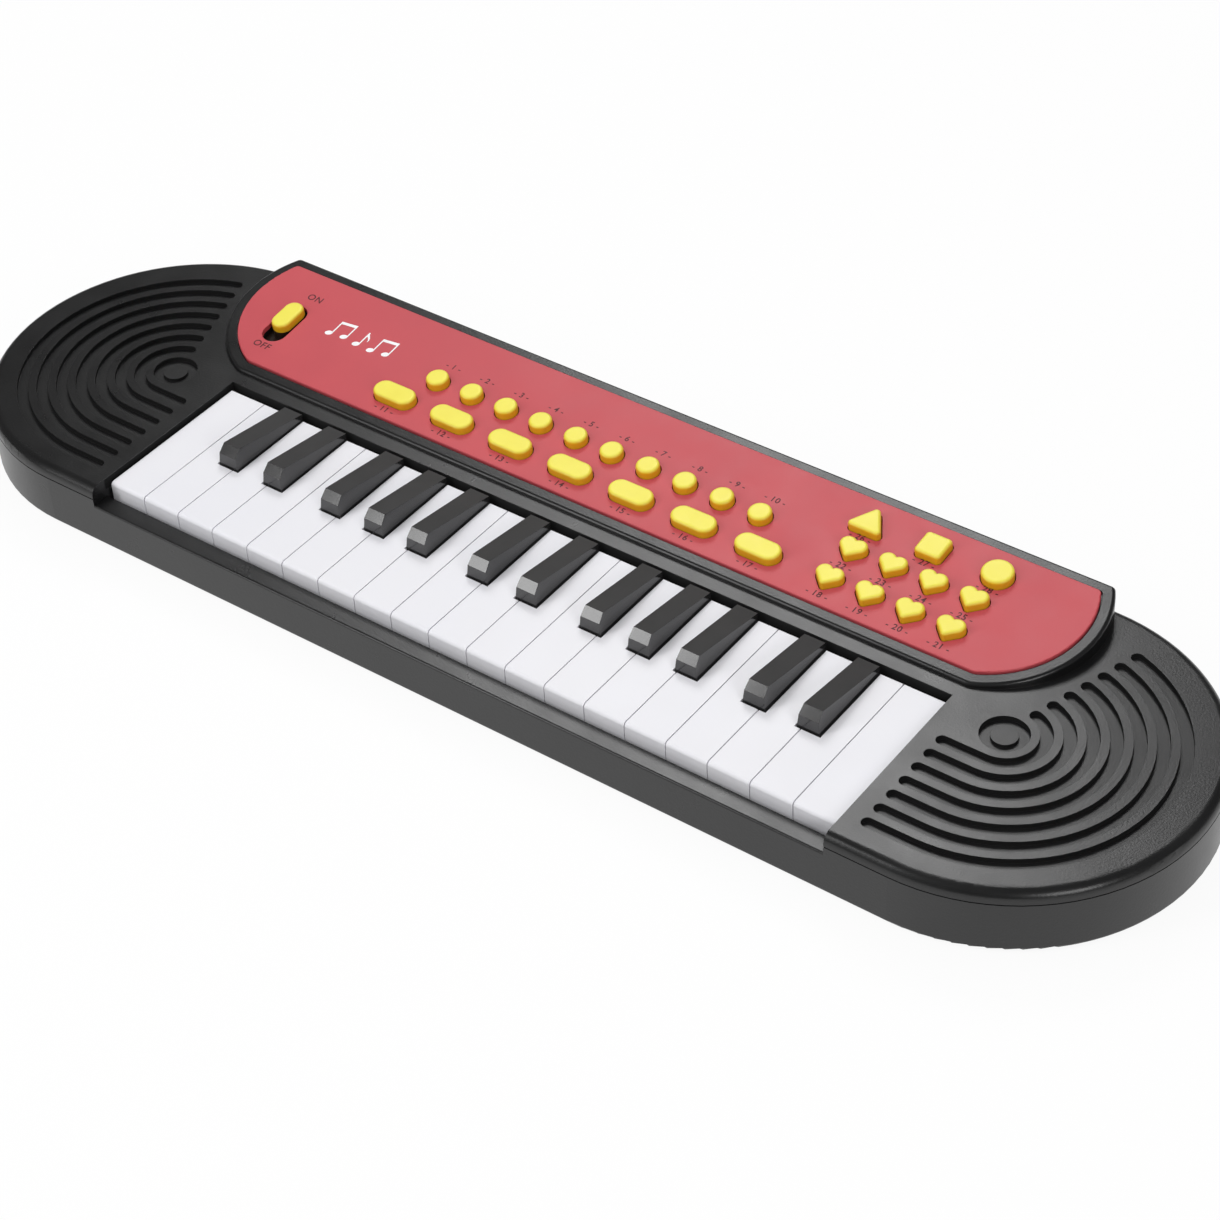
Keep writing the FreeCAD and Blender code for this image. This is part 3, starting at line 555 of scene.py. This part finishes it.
def dress_nodes():
    for part in frame["record"]["subparts"]:
        piece = frame["nodes"][part["node"]]
        slot = part["material_slot"]
        for i in range(len(piece.data.materials)):
            piece.data.materials[i] = materials[slot]
        if slot in ROUNDS:
            round_edges(piece, ROUNDS[slot])


def print_piece(name, data, x, v, material):
    data.materials.append(material)
    piece = bpy.data.objects.new(name, data)
    bpy.context.scene.collection.objects.link(piece)
    piece.matrix_world = panel_face.matrix(x, v)
    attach(piece, "chassis")


def print_text(name, words, x, v, height, material):
    data = bpy.data.curves.new(name, "FONT")
    data.body = words
    data.size = height / CAP_SHARE
    data.align_x = "CENTER"
    data.align_y = "CENTER"
    data.space_character = LETTER_SPACING
    data.offset = STROKE_GROW
    print_piece(name, data, x, v, material)


def number_rows(material):
    number = 1
    for node, count, spacing, shift in NUMBER_ROWS:
        x, v = panel_face.place(node)
        for i in range(count):
            aside = (i - (count - 1) / 2) * spacing
            name = f"mark_{number:02d}"
            print_text(name, f"- {number} -", x + aside, v + shift, MARK_HEIGHT, material)
            number += 1


def switch_words(material):
    x, v = panel_face.place("switch_knob")
    for name, words, aside, shift in SWITCH_WORDS:
        print_text(name, words, x + aside, v + shift, WORD_HEIGHT, material)


def stem_top(x, y):
    return x + HEAD_WIDTH * STEM_ASIDE_SHARE, y + STEM_HEIGHT


def note_head(x, y):
    # Tilted oval
    tilt = math.radians(HEAD_TILT_DEG)
    ring = []
    for i in range(HEAD_STEPS):
        turn = 2 * math.pi * i / HEAD_STEPS
        u = HEAD_WIDTH / 2 * math.cos(turn)
        w = HEAD_HEIGHT / 2 * math.sin(turn)
        across = u * math.cos(tilt) - w * math.sin(tilt)
        up = u * math.sin(tilt) + w * math.cos(tilt)
        ring.append((x + across, y + up))
    return ring


def note_stem(x, y):
    right, top = stem_top(x, y)
    left = right - STEM_WIDTH
    return [(left, y), (right, y), (right, top), (left, top)]


def beam(first, second):
    # Bar that joins the tops of two stems
    ax, ay = stem_top(*first)
    bx, by = stem_top(*second)
    left = ax - STEM_WIDTH
    return [(left, ay - BEAM_HEIGHT), (bx, by - BEAM_HEIGHT), (bx, by), (left, ay)]


def flag(x, y):
    # Curved tail at the top of a single stem
    right, top = stem_top(x, y)
    return [(right + u, top + w) for u, w in FLAG_OUTLINE]


def note_shapes():
    shapes = []
    for place in NOTE_PLACES:
        shapes += [note_head(*place), note_stem(*place)]
    first, second, single, third, fourth = NOTE_PLACES
    return shapes + [beam(first, second), flag(*single), beam(third, fourth)]


def notes(material):
    # Flat shapes, each a thin layer above the last
    corners = []
    faces = []
    for layer, shape in enumerate(note_shapes()):
        faces.append([len(corners) + i for i in range(len(shape))])
        corners += [(a, b, layer * NOTE_LAYER) for a, b in shape]
    mesh = bpy.data.meshes.new("notes")
    mesh.from_pydata(corners, [], faces)
    x, v = panel_face.place("switch_knob")
    print_piece("notes", mesh, x + NOTES_ASIDE[0], v + NOTES_ASIDE[1], material)


def printed_marks():
    dark = ink("ink", INK)
    number_rows(dark)
    switch_words(dark)
    notes(ink("print_white", PRINT_WHITE))


def from_angles(azimuth, elevation):
    # Azimuth 0 lies in front of the keys and 90 at their right end
    a = math.radians(azimuth)
    e = math.radians(elevation)
    return Vector((math.sin(a) * math.cos(e), -math.cos(a) * math.cos(e), math.sin(e)))


def camera():
    data = bpy.data.cameras.new("camera")
    data.lens = CAMERA_LENS
    eye = bpy.data.objects.new("camera", data)
    bpy.context.scene.collection.objects.link(eye)
    back = from_angles(CAMERA_AZIMUTH_DEG, CAMERA_ELEVATION_DEG)
    eye.location = CAMERA_AIM + back * CAMERA_DISTANCE
    eye.rotation_mode = "QUATERNION"
    roll = Quaternion((0, 0, 1), math.radians(CAMERA_ROLL_DEG))
    eye.rotation_quaternion = (-back).to_track_quat("-Z", "Y") @ roll
    bpy.context.scene.camera = eye


def lamps():
    # Each lamp's power follows from its level on a white sheet that lies at the part
    for name, azimuth, elevation, width, height, level, mirrored in LAMPS:
        data = bpy.data.lights.new(name, "AREA")
        data.shape = "RECTANGLE"
        data.size = width
        data.size_y = height
        data.energy = level * (math.pi * LAMP_DISTANCE) ** 2 / math.sin(math.radians(elevation))
        lamp = bpy.data.objects.new(name, data)
        lamp.visible_glossy = mirrored
        bpy.context.scene.collection.objects.link(lamp)
        back = from_angles(azimuth, elevation)
        lamp.location = back * LAMP_DISTANCE
        lamp.rotation_mode = "QUATERNION"
        lamp.rotation_quaternion = (-back).to_track_quat("-Z", "Y")


def seen_by(tree, *rays):
    # 1 where a ray is of one of the named kinds
    path = add(tree, "ShaderNodeLightPath")
    seen = path.outputs[rays[0]]
    for ray in rays[1:]:
        either = add(tree, "ShaderNodeMath", operation="MAXIMUM")
        tree.links.new(seen, either.inputs[0])
        tree.links.new(path.outputs[ray], either.inputs[1])
        seen = either.outputs["Value"]
    return seen


def world():
    # Grey light, seen as white
    scene_world = bpy.data.worlds.new("world")
    scene_world.use_nodes = True
    tree = scene_world.node_tree
    sky = tree.nodes["Background"]
    sky.inputs["Color"].default_value = (1.0, 1.0, 1.0, 1.0)
    seen = seen_by(tree, "Is Camera Ray", "Is Transmission Ray")
    tree.links.new(ramp(tree, seen, RISE, (WORLD_GREY, WORLD_SEEN)), sky.inputs["Strength"])
    bpy.context.scene.world = scene_world


def mix_shaders(tree, factor, first, second):
    node = add(tree, "ShaderNodeMixShader")
    tree.links.new(factor, node.inputs["Fac"])
    tree.links.new(first, node.inputs[1])
    tree.links.new(second, node.inputs[2])
    return node.outputs["Shader"]


def floor_white():
    # Lifted towards white where it is seen, and clear from below, so that the underside shows
    made, tree, shader = new_material("floor")
    shader.inputs["Base Color"].default_value = (*FLOOR_WHITE, 1.0)
    shader.inputs["Roughness"].default_value = FLOOR_ROUGHNESS
    seen = seen_by(tree, "Is Camera Ray", "Is Glossy Ray", "Is Transmission Ray")
    lift = ramp(tree, seen, RISE, (0.0, FLOOR_LIFT_SHARE))
    glow = add(tree, "ShaderNodeEmission").outputs["Emission"]
    above = mix_shaders(tree, lift, shader.outputs["BSDF"], glow)
    below = add(tree, "ShaderNodeNewGeometry").outputs["Backfacing"]
    clear = add(tree, "ShaderNodeBsdfTransparent").outputs["BSDF"]
    both = mix_shaders(tree, below, above, clear)
    tree.links.new(both, tree.nodes["Material Output"].inputs["Surface"])
    return made


def floor():
    h = FLOOR_HALF
    mesh = bpy.data.meshes.new("floor")
    mesh.from_pydata([(-h, -h, 0), (h, -h, 0), (h, h, 0), (-h, h, 0)], [], [(0, 1, 2, 3)])
    mesh.materials.append(floor_white())
    ground = bpy.data.objects.new("floor", mesh)
    ground.location = (FLOOR_ASIDE, 0.0, cad_low.z - FLOOR_DROP)
    bpy.context.scene.collection.objects.link(ground)


dress_nodes()
printed_marks()
camera()
lamps()
world()
floor()
bpy.context.scene.view_settings.view_transform = "Standard"
